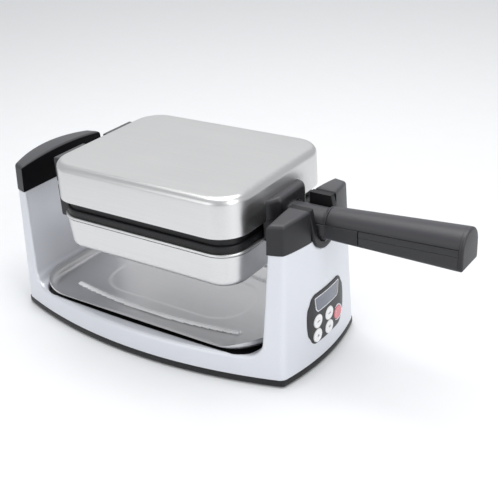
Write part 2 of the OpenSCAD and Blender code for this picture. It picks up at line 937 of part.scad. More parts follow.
// The lower block hangs from the parting plane, the same height as the upper one
module mirror_block() {
    translate([0, 0, 2 * parting_z - 0.4]) mirror([0, 0, 1])
        difference() {
            handle_block(parting_z, parting_z + block_down, head_x + rim_w / 2);
            block([0, -far, 0], [far, far, parting_z - 0.2 + gap / 2]);
        }
}

module upper_handle_arm() {
    color(charcoal) place() {
        handle_block(parting_z + gap / 2, parting_z + block_up, head_right);
        intersection() {
            journal();
            beside_seam(1, gap / 2);
        }
        upper_spine();
    }
}

module upper_grip() {
    color(charcoal) place() difference() {
        intersection() {
            grip_form(grip_start, handle_end - handle_cap_t);
            beside_seam(1, gap / 2);
        }
        upper_spine();
    }
}

// The part of the lower grip between two seams, counted down from the handle's seam
module grip_layer(top, bottom) {
    difference() {
        intersection() {
            grip_form(lower_grip_start + 0.4, handle_end - handle_cap_t - 0.6);
            beside_seam(-1, -top);
            if (bottom > 0) beside_seam(1, -bottom);
        }
        lower_spine();
    }
}

module lower_grip() {
    color(charcoal) place() difference() {
        grip_layer(gap / 2, seam_drop);
        grip_screw_spots() cylinder(r = screw_r, h = 30);
    }
}

module lower_grip_cover() {
    color(black) place() difference() {
        grip_layer(seam_drop + 0.05, 0);
        grip_screw_spots() {
            cylinder(r = screw_r, h = 30);
            translate([0, 0, -9]) cylinder(r = screw_head_r, h = screw_head + 9);
        }
    }
}

// Screws rise from under the lower grip, either side of the spine
module grip_screw_spots() {
    for (x = [lower_grip_start + screw_in, handle_end - screw_end], s = [-1, 1])
        translate([x, s * screw_side, axis_z - screw_low]) children();
}

module grip_screws() {
    color(steel) place() grip_screw_spots() {
        cylinder(r = screw_head_r, h = screw_head);
        cylinder(r = screw_r, h = screw_l);
    }
}

module grip_end_cap() {
    color(charcoal) place() grip_form(handle_end - handle_cap_t, handle_end);
}

module journal_ring(side) {
    intersection() {
        translate([0, 0, axis_z]) difference() {
            along_x(block_x, block_x + 1, journal_r + 1.6);
            along_x(block_x - 1, block_x + 2, journal_r);
        }
        beside_seam(side, side * gap / 2);
    }
}

module lower_journal_ring() {
    color(steel) place() journal_ring(-1);
}

module upper_journal_ring() {
    color(steel) place() journal_ring(1);
}

base_housing();
bottom_cover();
rubber_feet();
base_screws();
deck_plate();
left_post_cap();
right_horn(-1);  // right_front_cap
right_horn(1);  // right_rear_cap
cradle_liner();
axle_bush();
panel_bezel();
display_window();
display_module();
control_board();
button_switches();
buzzer();
power_board();
relay();
terminal_block();
cord_gland();
drip_tray();
button(0, [0.95, 0.95, 0.95]);  // button_select
button(1, [0.95, 0.95, 0.95]);  // button_browning
button(2, [0.95, 0.95, 0.95]);  // button_up
button(3, [0.95, 0.95, 0.95]);  // button_down
button(4, [0.85, 0.4, 0.42]);  // button_power
lower_cover();
lower_rim();
lower_frame();
lower_plate();
lower_heater();
lower_reflector();
thermostat();
lower_hinge();
hinge_pins();
left_axle();
axle_clip();
lower_handle_arm();
lower_grip();
lower_grip_cover();
grip_screws();
lower_journal_ring();
upper_cover();
upper_frame();
upper_plate();
upper_heater();
upper_reflector();
thermal_fuse();
upper_hinge();
upper_handle_arm();
upper_grip();
grip_end_cap();
upper_journal_ring();
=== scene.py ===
import bmesh
import bpy
import json
import math
import numpy
from mathutils import Matrix, Vector


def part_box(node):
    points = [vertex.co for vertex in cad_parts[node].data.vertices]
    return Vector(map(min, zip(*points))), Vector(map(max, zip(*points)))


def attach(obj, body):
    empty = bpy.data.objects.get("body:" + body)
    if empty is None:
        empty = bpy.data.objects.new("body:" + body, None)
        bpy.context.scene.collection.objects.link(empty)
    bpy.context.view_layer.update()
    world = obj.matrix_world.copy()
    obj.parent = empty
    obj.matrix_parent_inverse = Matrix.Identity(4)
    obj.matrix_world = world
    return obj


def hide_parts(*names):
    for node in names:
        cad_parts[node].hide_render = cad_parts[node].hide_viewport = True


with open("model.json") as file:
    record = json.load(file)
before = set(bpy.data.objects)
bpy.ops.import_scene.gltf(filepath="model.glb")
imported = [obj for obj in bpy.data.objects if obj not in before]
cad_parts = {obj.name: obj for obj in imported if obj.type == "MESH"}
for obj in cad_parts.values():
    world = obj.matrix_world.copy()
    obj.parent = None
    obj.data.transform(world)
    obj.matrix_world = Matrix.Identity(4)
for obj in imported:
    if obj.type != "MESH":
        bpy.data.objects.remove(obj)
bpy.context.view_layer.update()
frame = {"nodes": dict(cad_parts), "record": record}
mm = 0.001
housingBox = [Vector(c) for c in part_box("base_housing")]
baseX = (housingBox[0].x + housingBox[1].x) / 2
print("frame loaded:", len(frame["nodes"]), "nodes")

# Sizes of pieces are in millimetres from the middle of the base at table height, and become
# metres in the shared frame when a mesh is finished. The camera and the lights are in metres.


def boxOf(node):
    return [Vector(((c[0] - baseX) / mm, c[1] / mm, c[2] / mm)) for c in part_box(node)]


def linked(name, data):
    made = bpy.data.objects.new(name, data)
    bpy.context.collection.objects.link(made)
    return made


viewing = {
    "azimuth": 37.02, "elevation": 26.61, "roll": 4.19, "distance": 1.0279,
    "target": (0.03387, 0.03895, 0.07738), "lens": 67.4, "shift": (0.048, -0.012),
}
studio = {
    "sky": (0.97, 0.98, 1.0), "skyPower": 0.60,
    "top": {"place": (0.0, 0.1, 1.5), "size": (1.4, 1.0), "power": 15},
    "back": {"place": (-1.3, 1.9, 1.25), "size": (3.0, 1.4), "power": 3.5},
    "front": {"place": (-0.5, -1.7, 0.7), "size": (1.2, 0.9), "power": 4},
    "right": {"place": (1.7, -0.5, 0.9), "size": (0.9, 1.2), "power": 11},
}


def makeCamera():
    az, el, roll = (math.radians(viewing[k]) for k in ("azimuth", "elevation", "roll"))
    back = Vector((math.sin(az) * math.cos(el), -math.cos(az) * math.cos(el), math.sin(el)))
    right = Vector((math.cos(az), math.sin(az), 0))
    up = back.cross(right)
    tiltedRight = right * math.cos(roll) - up * math.sin(roll)
    tiltedUp = right * math.sin(roll) + up * math.cos(roll)
    data = bpy.data.cameras.new("camera")
    data.lens = viewing["lens"]
    data.shift_x, data.shift_y = viewing["shift"]
    data.clip_end = 20
    camera = linked("camera", data)
    place = Vector(viewing["target"]) + Vector((baseX, 0, 0)) + back * viewing["distance"]
    axes = Matrix((tiltedRight, tiltedUp, back)).transposed().to_4x4()
    camera.matrix_world = Matrix.Translation(place) @ axes
    bpy.context.scene.camera = camera


def makeLight(name):
    lamp = studio[name]
    data = bpy.data.lights.new(name + "Softbox", "AREA")
    data.shape = "RECTANGLE"
    data.size, data.size_y = lamp["size"]
    data.energy = lamp["power"]
    made = linked(name + "Softbox", data)
    made.location = lamp["place"]
    aim = Vector((0, 0, 0.1)) - Vector(lamp["place"])
    made.rotation_euler = aim.to_track_quat("-Z", "Y").to_euler()


def makeWorld():
    world = bpy.data.worlds.new("studio")
    bpy.context.scene.world = world
    world.use_nodes = True
    ground = world.node_tree.nodes["Background"]
    ground.inputs["Color"].default_value = (*studio["sky"], 1)
    ground.inputs["Strength"].default_value = studio["skyPower"]


makeCamera()
makeWorld()
for lampName in ("top", "back", "front", "right"):
    makeLight(lampName)
bpy.context.scene.view_settings.view_transform = "Standard"
print("camera and light made")


class Wire:  # a socket that can be added, multiplied and compared
    def __init__(self, tree, socket):
        self.tree = tree
        self.socket = socket

    def math(self, operation, other=None, swapped=False):
        node = self.tree.nodes.new("ShaderNodeMath")
        node.operation = operation
        pair = (other, self) if swapped else (self, other)
        for slot, value in zip(node.inputs, pair):
            if isinstance(value, Wire):
                self.tree.links.new(value.socket, slot)
            elif value is not None:
                slot.default_value = value
        return Wire(self.tree, node.outputs[0])

    def __add__(self, other):
        return self.math("ADD", other)

    def __sub__(self, other):
        return self.math("SUBTRACT", other)

    def __rsub__(self, other):
        return self.math("SUBTRACT", other, True)

    def __mul__(self, other):
        return self.math("MULTIPLY", other)

    def __gt__(self, other):
        return self.math("GREATER_THAN", other)

    def __abs__(self):
        return self.math("ABSOLUTE")

    __radd__ = __add__
    __rmul__ = __mul__


class NodeMaker:  # what a finish and a geometry tree share: one method for any node
    prefix = ""

    def node(self, kind, settings=(), out=0, **values):
        made = self.tree.nodes.new(self.prefix + kind)
        for key, value in dict(settings).items():
            setattr(made, key, value)
        for key, value in values.items():
            slot = made.inputs[key.replace("_", " ")]
            if isinstance(value, Wire):
                self.tree.links.new(value.socket, slot)
            else:
                slot.default_value = value
        return Wire(self.tree, made.outputs[out])


class Finish(NodeMaker):  # one material and its shader
    prefix = "ShaderNode"

    def __init__(self, name, **uniform):
        self.material = bpy.data.materials.new(name)
        self.material.use_nodes = True
        self.tree = self.material.node_tree
        self.shader = self.tree.nodes["Principled BSDF"]
        for socketName, value in uniform.items():
            self.shader.inputs[socketName.replace("_", " ")].default_value = value

    def place(self, stretch=(1, 1, 1)):
        spot = self.node("TexCoord", out="Object")
        return self.node("Mapping", Vector=spot, Scale=stretch)

    def noise(self, scale, stretch=(1, 1, 1), detail=3, rough=0.5):
        return self.node("TexNoise", Vector=self.place(stretch), Scale=scale, Detail=detail,
                         Roughness=rough)

    def between(self, factor, first, second):
        made = self.tree.nodes.new("ShaderNodeMix")
        made.data_type = "RGBA"
        made.inputs[6].default_value = (*first, 1)
        made.inputs[7].default_value = (*second, 1)
        self.tree.links.new(factor.socket, made.inputs[0])
        return Wire(self.tree, made.outputs[2])

    def feed(self, socketName, wire):
        self.tree.links.new(wire.socket, self.shader.inputs[socketName])

    def bump(self, height, strength, distance):
        bumped = self.node("Bump", Height=height, Strength=strength, Distance=distance)
        self.feed("Normal", bumped)
        return self.material


def brushedMetal(name, light, dark, rough, grain):
    f = Finish(name, Metallic=1.0)
    # the brushing runs along X on the long faces and along Y on the end faces
    alongX = f.noise(grain, (0.012, 1, 1), 4, 0.6)
    alongY = f.noise(grain, (1, 0.012, 1), 4, 0.6)
    onEnd = abs(f.node("SeparateXYZ", Vector=f.node("TexCoord", out="Normal"))) > 0.72
    streak = alongX * (1 - onEnd) + alongY * onEnd
    cloud = f.noise(14, detail=2)
    f.feed("Base Color", f.between(streak * 0.7 + cloud * 0.3, dark, light))
    f.feed("Roughness", streak * 0.16 + cloud * 0.06 + (rough - 0.09))
    return f.bump(streak, 0.12, 0.0001)


def silverPaint(name, light, dark):
    f = Finish(name, Metallic=0.42, Coat_Weight=0.25, Coat_Roughness=0.15)
    flake = f.node("TexVoronoi", out="Color", Vector=f.place(), Scale=2600.0)
    flakeTone = f.node("SeparateColor", Color=flake)
    cloud = f.noise(9, detail=2)
    f.feed("Base Color", f.between(flakeTone * 0.6 + cloud * 0.4, dark, light))
    f.feed("Roughness", flakeTone * 0.10 + 0.34)
    return f.bump(f.noise(190, detail=2), 0.04, 0.0003)


def moulded(name, light, dark, rough, shine):
    # painted highlight: faces that look up are made paler, standing in for the sheen of the light from
    # above; the worn and fine noise vary the tone at random
    f = Finish(name, Specular_IOR_Level=shine)
    fine = f.noise(1500, detail=3, rough=0.6)
    worn = f.noise(28, detail=4, rough=0.6)
    up = f.node("SeparateXYZ", out="Z", Vector=f.node("TexCoord", out="Normal"))
    f.feed("Base Color", f.between(up * (up > 0) * 0.75 + fine * 0.12 + worn * 0.13, dark, light))
    f.feed("Roughness", fine * 0.14 + worn * 0.10 + (rough - 0.12))
    return f.bump(fine, 0.35, 0.00007)


def evenFinish(name, light, dark, metallic=0.0, rough=0.35, grain=400, coat=0.0, depth=0.00005):
    f = Finish(name, Metallic=metallic, Coat_Weight=coat, Coat_Roughness=0.08)
    fine = f.noise(grain)
    f.feed("Base Color", f.between(fine, dark, light))
    f.feed("Roughness", fine * 0.12 + (rough - 0.06))
    return f.bump(fine, 0.2, depth)


def displayFinish(name, light, dark):
    f = Finish(name, Coat_Weight=0.6, Coat_Roughness=0.05)
    # faint bars stand for the display's resting segments
    bars = f.node("TexWave", {"bands_direction": "Y"}, 1, Vector=f.place(), Scale=150.0)
    haze = f.noise(60)
    f.feed("Base Color", f.between(bars * 0.25 + haze * 0.75, dark, light))
    f.feed("Roughness", haze * 0.1 + 0.16)
    return f.bump(haze, 0.02, 0.00005)


recipes = {
    "silver_paint": (silverPaint, (0.73, 0.745, 0.79), (0.68, 0.695, 0.745)),
    "brushed_steel": (brushedMetal, (0.76, 0.76, 0.755), (0.64, 0.64, 0.64), 0.31, 900),
    "tray_steel": (brushedMetal, (0.66, 0.66, 0.67), (0.54, 0.54, 0.55), 0.33, 700),
    "charcoal_plastic": (moulded, (0.070, 0.070, 0.077), (0.006, 0.006, 0.008), 0.40, 0.42),
    "black_plastic": (moulded, (0.014, 0.014, 0.016), (0.005, 0.005, 0.006), 0.46, 0.4),
    "plated_steel": (evenFinish, (0.75, 0.75, 0.75), (0.6, 0.6, 0.6), 1.0, 0.22),
    "coated_cast": (evenFinish, (0.055, 0.055, 0.057), (0.035, 0.035, 0.037), 0.25, 0.42, 900,
                    0.1, 0.0001),
    "bronze": (evenFinish, (0.62, 0.42, 0.2), (0.48, 0.31, 0.14), 1.0, 0.4),
    "foot_rubber": (evenFinish, (0.035, 0.035, 0.036), (0.022, 0.022, 0.023), 0.0, 0.7, 700,
                    0.0, 0.0002),
    "display_glass": (displayFinish, (0.135, 0.15, 0.195), (0.085, 0.095, 0.13)),
    "display_panel": (evenFinish, (0.2, 0.22, 0.22), (0.14, 0.16, 0.16)),
    "circuit_board": (evenFinish, (0.03, 0.14, 0.07), (0.015, 0.08, 0.04)),
    "white_plastic": (evenFinish, (0.86, 0.86, 0.86), (0.80, 0.80, 0.81), 0.0, 0.26, 500, 0.3),
    "red_plastic": (evenFinish, (0.72, 0.23, 0.26), (0.64, 0.18, 0.21), 0.0, 0.26, 500, 0.3),
}
finishes = {name: maker(name, *values) for name, (maker, *values) in recipes.items()}
deepPlastic = moulded("deep_plastic", (0.012, 0.012, 0.015), (0.007, 0.007, 0.009), 0.40, 0.6)
# painted shade: a near-black copy of the moulded plastic, for cap faces that sit in the head's shadow
paintedShadePlastic = moulded("shade_plastic", (0.003, 0.003, 0.004), (0.002, 0.002, 0.003), 0.6, 0.1)
# painted highlight: a brighter, rougher steel for the light that the tray's raised beads catch
beadHighlightSteel = evenFinish("bead_steel", (0.95, 0.95, 0.96), (0.88, 0.88, 0.89), 0.35, 0.45)
whiteLine = evenFinish("white_line", (0.80, 0.81, 0.85), (0.74, 0.75, 0.79), 0.0, 0.4)
greyMark = evenFinish("grey_mark", (0.20, 0.21, 0.24), (0.15, 0.16, 0.19), 0.0, 0.5)
slotOf = {row["node"]: row["material_slot"] for row in frame["record"]["subparts"]}
bodyOf = {node: body for body, nodes in frame["record"]["behaviour"]["bodies"].items() for node in nodes}
for nodeName, nodeObject in frame["nodes"].items():
    nodeObject.data.materials.clear()
    nodeObject.data.materials.append(finishes[slotOf[nodeName]])
print("finishes made:", len(finishes))


def bake(piece):  # turns an object with modifiers into a plain mesh
    bpy.context.view_layer.update()
    graph = bpy.context.evaluated_depsgraph_get()
    mesh = bpy.data.meshes.new_from_object(piece.evaluated_get(graph))
    piece.modifiers.clear()
    piece.data = mesh
    return mesh


def meshPiece(name, bm):
    mesh = bpy.data.meshes.new(name)
    bm.to_mesh(mesh)
    bm.free()
    return linked(name, mesh)


def rawPiece(name, bm, shift=baseX):  # from millimetres round the base to the shared frame
    bmesh.ops.remove_doubles(bm, verts=bm.verts, dist=0.001)
    bmesh.ops.recalc_face_normals(bm, faces=bm.faces)
    for vert in bm.verts:
        vert.co = Vector((vert.co.x * mm + shift, vert.co.y * mm, vert.co.z * mm))
    return meshPiece(name, bm)


def dress(piece, node, material=None, sharp=32, stands=True):
    # gives a piece its finish, its body, its slot and the nodes it stands for
    mesh = piece.data
    mesh.materials.clear()
    mesh.materials.append(material or finishes[slotOf[node]])
    for face in mesh.polygons:
        face.use_smooth = True
    mesh.set_sharp_from_angle(angle=math.radians(sharp))
    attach(piece, bodyOf[node])
    if stands:
        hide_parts(node)
    return piece


def modify(piece, kind, **settings):
    modifier = piece.modifiers.new(kind.lower(), kind)
    for key, value in settings.items():
        setattr(modifier, key, value)
    return modifier


def soften(piece, voxel, rounds):  # remeshes a closed form finely and rounds its edges
    modify(piece, "REMESH", mode="VOXEL", voxel_size=voxel * mm)
    modify(piece, "SMOOTH", factor=0.5, iterations=rounds)
    bake(piece)
    return piece


def softCopy(node, voxel, rounds):  # a node's own form with moulded, rounded edges
    bm = bmesh.new()
    bm.from_mesh(frame["nodes"][node].data)
    bmesh.ops.remove_doubles(bm, verts=bm.verts, dist=1e-6)
    piece = soften(meshPiece(node + "_soft", bm), voxel, rounds)
    dress(piece, node, sharp=60)


def roundPoly(corners, radii, steps=5):  # a closed outline with each corner rounded
    count = len(corners)
    radii = radii if isinstance(radii, (list, tuple)) else [radii] * count
    points = []
    for i, corner in enumerate(corners):
        here = Vector(corner)
        before = (Vector(corners[i - 1]) - here).normalized()
        after = (Vector(corners[(i + 1) % count]) - here).normalized()
        half = before.angle(after) / 2
        centre = here + (before + after).normalized() * (radii[i] / math.sin(half))
        start = here + before * radii[i] / math.tan(half) - centre
        turn = 1 if before.x * after.y - before.y * after.x < 0 else -1
        for k in range(steps + 1):
            arm = Matrix.Rotation(turn * (math.pi - 2 * half) * k / steps, 2) @ start
            points.append(centre + arm)
    return points


def rectangle(w, d, cx=0, cy=0):
    return [(cx - w / 2, cy - d / 2), (cx + w / 2, cy - d / 2), (cx + w / 2, cy + d / 2),
            (cx - w / 2, cy + d / 2)]


def roundedRect(w, d, corner, steps):  # starts and ends on the side along +Y, in facing pairs
    ring = roundPoly(rectangle(w, d), corner, steps)
    half = steps + 1
    return ring[-half:] + ring[:-half]


def bridge(bm, first, second):  # faces between two rings
    for i in range(len(first)):
        j = (i + 1) % len(first)
        bm.faces.new((first[i], first[j], second[j], second[i]))


def ladder(bm, ring):  # closes a ring with faces between the points that face each other
    last = len(ring) - 1
    for i in range(last // 2):
        corners = (ring[i], ring[i + 1], ring[last - 1 - i], ring[last - i])
        bm.faces.new(list(dict.fromkeys(corners)))


def loft(bm, rings, closed=False, capStart=True, capEnd=True):
    grid = [[bm.verts.new(p) for p in ring] for ring in rings]
    for lower, upper in zip(grid, grid[1:]):
        bridge(bm, lower, upper)
    if closed:
        bridge(bm, grid[-1], grid[0])
    elif capStart:
        ladder(bm, grid[0])
    if not closed and capEnd:
        ladder(bm, grid[-1])
    return grid


def loftPiece(name, node, rings, closed=False, **look):  # a piece made by one loft
    bm = bmesh.new()
    loft(bm, rings, closed)
    return dress(rawPiece(name, bm), node, **look)


def shoulder(radius, steps=6):  # how far in and how far up, round a quarter turn
    turns = [math.pi / 2 * k / steps for k in range(steps + 1)]
    return [(radius * (1 - math.cos(a)), radius * math.sin(a)) for a in turns]


def spread(start, end, count):
    return [start + (end - start) * k / (count - 1) for k in range(count)]


def mix(a, b, t):
    return a + (b - a) * t


def easeBetween(value, low, high):
    t = max(0.0, min(1.0, (value - low) / (high - low)))
    return t * t * (3 - 2 * t)


base = {
    "halfWidth": 174.5, "halfDepth": 70, "frontBow": 28, "endBow": 9.6, "corner": 3.8,
    "rimTop": 9, "bandTop": 31, "postTop": 141, "taper": 9, "postInTop": 159, "postInLow": 152.5,
    "fillet": 16, "footHeight": 1.5, "rimProud": 0.3, "voxel": 1.75, "rounds": 5,
    "edge": 3.6, "cutEdge": 0.8, "pocketFloor": 24, "pocketDepth": 80, "pocketBow": 3.4,
    "bowHalf": 135, "pocketIn": 8, "pocketCorner": 25, "pocketEdge": 1.6,
}
lean = base["taper"] / (base["postTop"] - base["rimTop"])
postSlope = (base["postInTop"] - base["postInLow"]) / (base["postTop"] - base["bandTop"])
endX = base["halfWidth"] + base["endBow"]
pocketHalfX = base["postInLow"] - base["pocketIn"]
axisZ = 151  # the height of the line that the head turns about


def arcRadius(half, bow):  # of an arc that stands bow high over a chord
    return (half ** 2 + bow ** 2) / (2 * bow)


def arcsAt(z):  # the outline at a height: half its depth, and the radii of its front and its ends
    halfDepth = base["halfDepth"] - (z - base["rimTop"]) * lean
    frontR = arcRadius(base["halfWidth"], base["frontBow"])
    return halfDepth, frontR, arcRadius(halfDepth, base["endBow"])


def pocketReach(x):  # how far the deck's pocket reaches to the front and to the back
    return base["pocketDepth"] + base["pocketBow"] * (1 - (x / base["bowHalf"]) ** 2)


def planPath(z, grow=0, yStart=0.0, xStop=0.0, counts=(14, 7, 34)):
    # a quarter of the outline, from the end's middle round the corner to the front's middle
    halfDepth, frontR, endR = arcsAt(z)
    frontC = Vector((0, halfDepth + base["frontBow"] - frontR))
    endC = Vector((endX - endR, 0))
    a, b = frontR - base["corner"], endR - base["corner"]
    span = (endC - frontC).length
    along = (a * a - b * b + span * span) / (2 * span)
    u = (endC - frontC) / span
    cornerC = frontC + along * u + math.sqrt(a * a - along * along) * Vector((u.y, -u.x))
    fromEnd, fromFront = cornerC - endC, cornerC - frontC
    toEnd = math.atan2(fromEnd.y, fromEnd.x)
    toFront = math.atan2(fromFront.y, fromFront.x)
    arcs = [
        (endC, endR + grow, math.asin(yStart / (endR + grow)), toEnd),
        (cornerC, base["corner"] + grow, toEnd, toFront),
        (frontC, frontR + grow, toFront, math.acos(xStop / (frontR + grow))),
    ]
    points = []
    for (centre, radius, start, end), count in zip(arcs, counts):
        for angle in spread(start, end, count + 1)[1 if points else 0:]:
            points.append(centre + radius * Vector((math.cos(angle), math.sin(angle))))
    return points


def planRing(z, grow=0):  # the whole outline, in facing pairs
    quarter = planPath(z, grow, 2.0)
    upper = quarter + [Vector((-p.x, p.y)) for p in reversed(quarter[:-1])]
    return upper + [Vector((p.x, -p.y)) for p in reversed(upper)]


def flat(ring, z):
    return [Vector((p.x, p.y, z)) for p in ring]


def prism(bm, outline, axis, start, end):  # a straight bar along x, y or z
    sides = []
    for at in (start, end):
        spots = {"x": [(at, p.x, p.y) for p in outline], "y": [(p.x, at, p.y) for p in outline],
                 "z": [(p.x, p.y, at) for p in outline]}[axis]
        sides.append([bm.verts.new(spot) for spot in spots])
    bridge(bm, *sides)
    bm.faces.new(sides[0][::-1])
    bm.faces.new(sides[1])


def circleOf(radius, cx, cy, count=48):
    turns = [2 * math.pi * k / count for k in range(count)]
    return [Vector((cx + radius * math.cos(a), cy + radius * math.sin(a))) for a in turns]


def cut(piece, builder):
    bm = bmesh.new()
    builder(bm)
    cutter = rawPiece("cutter", bm)
    modify(piece, "BOOLEAN", object=cutter, operation="DIFFERENCE", solver="MANIFOLD")
    bake(piece)
    bpy.data.objects.remove(cutter)


def bayCutter(bm):
    low, top = base["postInLow"], 240
    xTop = low + postSlope * (top - base["bandTop"])
    corners = [(-low, base["bandTop"]), (low, base["bandTop"]), (xTop, top), (-xTop, top)]
    prism(bm, roundPoly(corners, [base["fillet"], base["fillet"], 1, 1], 12), "y", -130, 130)


def pocketCutter(bm):
    depth = base["pocketDepth"]
    outline = [Vector((p.x, p.y + math.copysign(pocketReach(p.x) - depth, p.y)))
               for p in roundedRect(2 * pocketHalfX, 2 * depth, base["pocketCorner"], 12)]
    prism(bm, outline, "z", base["pocketFloor"], base["bandTop"] + 12)


def notchOutline(radius, top):
    turns = [math.pi + math.pi * k / 24 for k in range(25)]
    arc = [Vector((radius * math.cos(a), axisZ + radius * math.sin(a))) for a in turns]
    return [Vector((-radius, top))] + arc + [Vector((radius, top))]


buttons = {
    "button_select": (-18, 24.4), "button_browning": (2.5, 23.4), "button_up": (-19, 8.7),
    "button_down": (2, 7.9), "button_power": (20.4, 14.8),
}
panel = {"low": 28, "height": 56, "width": 70, "corner": 10, "sideIn": 5, "sideR": 72,
         "proud": 0.9, "windowLow": 63.2, "windowTop": 80.2, "windowHalf": 23.2, "windowIn": 2.6,
         "well": 7.6, "wellDepth": 14, "buttonR": 7.4, "buttonEdge": 1.1, "stemR": 2.4}
cordHole = {"radius": 6.3, "height": 15.5, "from": 84, "to": 110}
cradle = {"inner": 16.4, "outer": 23.8, "top": 172.6, "x0": 157.0, "x1": 185.3, "legBack": 4,
          "legLow": 156, "legHigh": 170, "edge": 1.2, "play": 0.2}
notchR = cradle["outer"] - cradle["play"]


def faceX(y, grow=0):  # the outer face of the right post at panel height
    endR = arcsAt(panel["low"] + panel["height"] / 2)[2]
    return endX - endR + math.sqrt((endR + grow) ** 2 - y * y)


def buttonWells(bm, depth=20, count=64):  # round holes that the buttons stand in
    for y, up in buttons.values():
        prism(bm, circleOf(panel["well"], y, panel["low"] + up, count), "x", endX - depth, endX + 6)


def trimCutter(bm):
    for low, high in ((-20, base["rimTop"]), (base["postTop"], 220)):
        prism(bm, [Vector(c) for c in rectangle(460, 260)], "z", low, high)
    buttonWells(bm, panel["wellDepth"], 48)
    prism(bm, circleOf(cordHole["radius"], 0, cordHole["height"]), "y", cordHole["from"], cordHole["to"])


def roundMeet(a, b, radius):  # where two half-spaces meet in a rounded edge
    inner = numpy.minimum(-radius, numpy.maximum(a, b))
    return inner + numpy.hypot(numpy.maximum(a + radius, 0), numpy.maximum(b + radius, 0))


def housingField(x, y, z):  # how far each point lies outside the finished housing
    halfDepth, frontR, endR = arcsAt(z)
    front = numpy.hypot(x, abs(y) - (halfDepth + base["frontBow"] - frontR)) - frontR
    end = numpy.hypot(abs(x) - (endX - endR), y) - endR
    plan = roundMeet(front, end, base["corner"])
    side = abs(x) - base["postInLow"] - postSlope * (z - base["bandTop"])
    bay = roundMeet(side, base["bandTop"] - z, base["fillet"])
    shell = roundMeet(plan, -bay, base["edge"])
    well = roundMeet(abs(y) - pocketReach(x), abs(x) - pocketHalfX, base["pocketCorner"])
    shell = roundMeet(shell, -numpy.maximum(well, base["pocketFloor"] - z), base["pocketEdge"])
    cradleGap = numpy.hypot(y, numpy.minimum(z - axisZ, 0)) - notchR
    notch = numpy.where(x > 100, cradleGap, 99.0)  # only the right post has one
    return roundMeet(shell, -notch, base["cutEdge"])


def snapToField(piece, rounds=3, reach=2.5):  # moves a fine mesh's points onto the exact form
    mesh = piece.data
    middle = numpy.array([baseX, 0, 0])
    places = numpy.empty(len(mesh.vertices) * 3)
    mesh.vertices.foreach_get("co", places)
    p = (places.reshape(-1, 3) - middle) / mm
    step = 0.05
    for _ in range(rounds):
        value = housingField(*p.T)
        slopes = [(housingField(*(p + step * axis).T) - value) / step for axis in numpy.eye(3)]
        slope = numpy.stack(slopes, 1)
        move = -slope * (value / numpy.maximum((slope ** 2).sum(1), 0.2))[:, None]
        length = numpy.maximum(numpy.linalg.norm(move, axis=1), 1e-9)
        p = p + move * numpy.minimum(1, reach / length)[:, None]
    mesh.vertices.foreach_set("co", (p * mm + middle).reshape(-1))
    mesh.update()


def makeHousing():
    bm = bmesh.new()
    loft(bm, [flat(planRing(z), z) for z in (2, 40, 90, 148)])
    piece = rawPiece("base_shell", bm)
    cut(piece, bayCutter)
    cut(piece, pocketCutter)
    cut(piece, lambda bm: prism(bm, notchOutline(notchR, 200), "x", 130, 200))
    snapToField(soften(piece, base["voxel"], base["rounds"]))
    cut(piece, trimCutter)
    dress(piece, "base_housing", sharp=48)


def makeBottomCover():
    low, high = base["footHeight"], base["rimTop"]
    profile = [(-1.5, low), (-0.5, low + 0.4), (0, low + 1.3), (0, high - 0.8), (-0.25, high - 0.2),
               (-0.9, high)]
    loftPiece("base_bottom", "bottom_cover",
              [flat(planRing(high, base["rimProud"] + grow), z) for grow, z in profile])


makeHousing()
makeBottomCover()
print("base made")


cap = {"top": 170.6, "crown": 4.6, "shoulder": 3.6, "joint": 0.5, "crownHalf": 61, "hornFrom": 24.4}


def capRing(z, inset, mirrorX, ySide, yStart):
    # the ring follows the outline from one end of the cap to the other and comes back inside
    innerX = base["postInTop"] + inset
    counts = (16, 6, 8)
    if ySide == 0:
        quarter = planPath(z, -inset, 0.0, innerX, counts)
        outer = [Vector((p.x, -p.y)) for p in reversed(quarter)] + quarter[1:]
        inner = [Vector((innerX, p.y)) for p in reversed(outer[1:-1])]
        outer, inner = outer[1:], inner + [outer[0]]
    else:
        quarter = planPath(z, -inset, yStart + inset, innerX, counts)
        outer = [Vector((p.x, ySide * p.y)) for p in quarter]
        inner = [Vector((innerX, p.y)) for p in reversed(outer[:-1])]
    side = -1 if mirrorX else 1
    return [Vector((side * p.x, p.y)) for p in outer + inner]


def makeCap(name, node, mirrorX, ySide=0, yStart=0.0):
    crownR = arcRadius(cap["crownHalf"], cap["crown"])
    profile = [(cap["joint"], base["postTop"], 0), (0, base["postTop"] + cap["joint"], 0)]
    profile += [(inset, cap["top"] - cap["shoulder"] + up, 1) for inset, up in shoulder(cap["shoulder"])]
    rings = []
    for inset, z, crowned in profile:
        ring = capRing(z, inset, mirrorX, ySide, yStart)
        rise = [crowned * (cap["crown"] - crownR + math.sqrt(crownR ** 2 - p.y ** 2)) for p in ring]
        rings.append([Vector((p.x, p.y, z + up)) for p, up in zip(ring, rise)])
    piece = loftPiece(name, node, rings, sharp=40)
    piece.data.materials.append(paintedShadePlastic)
    for face in piece.data.polygons:  # painted shade: the face that looks at the head gets a near-black copy of the plastic, for the head's shadow and dark reflection on it
        if face.normal.x * (1 if mirrorX else -1) > 0.8:
            face.material_index = 1


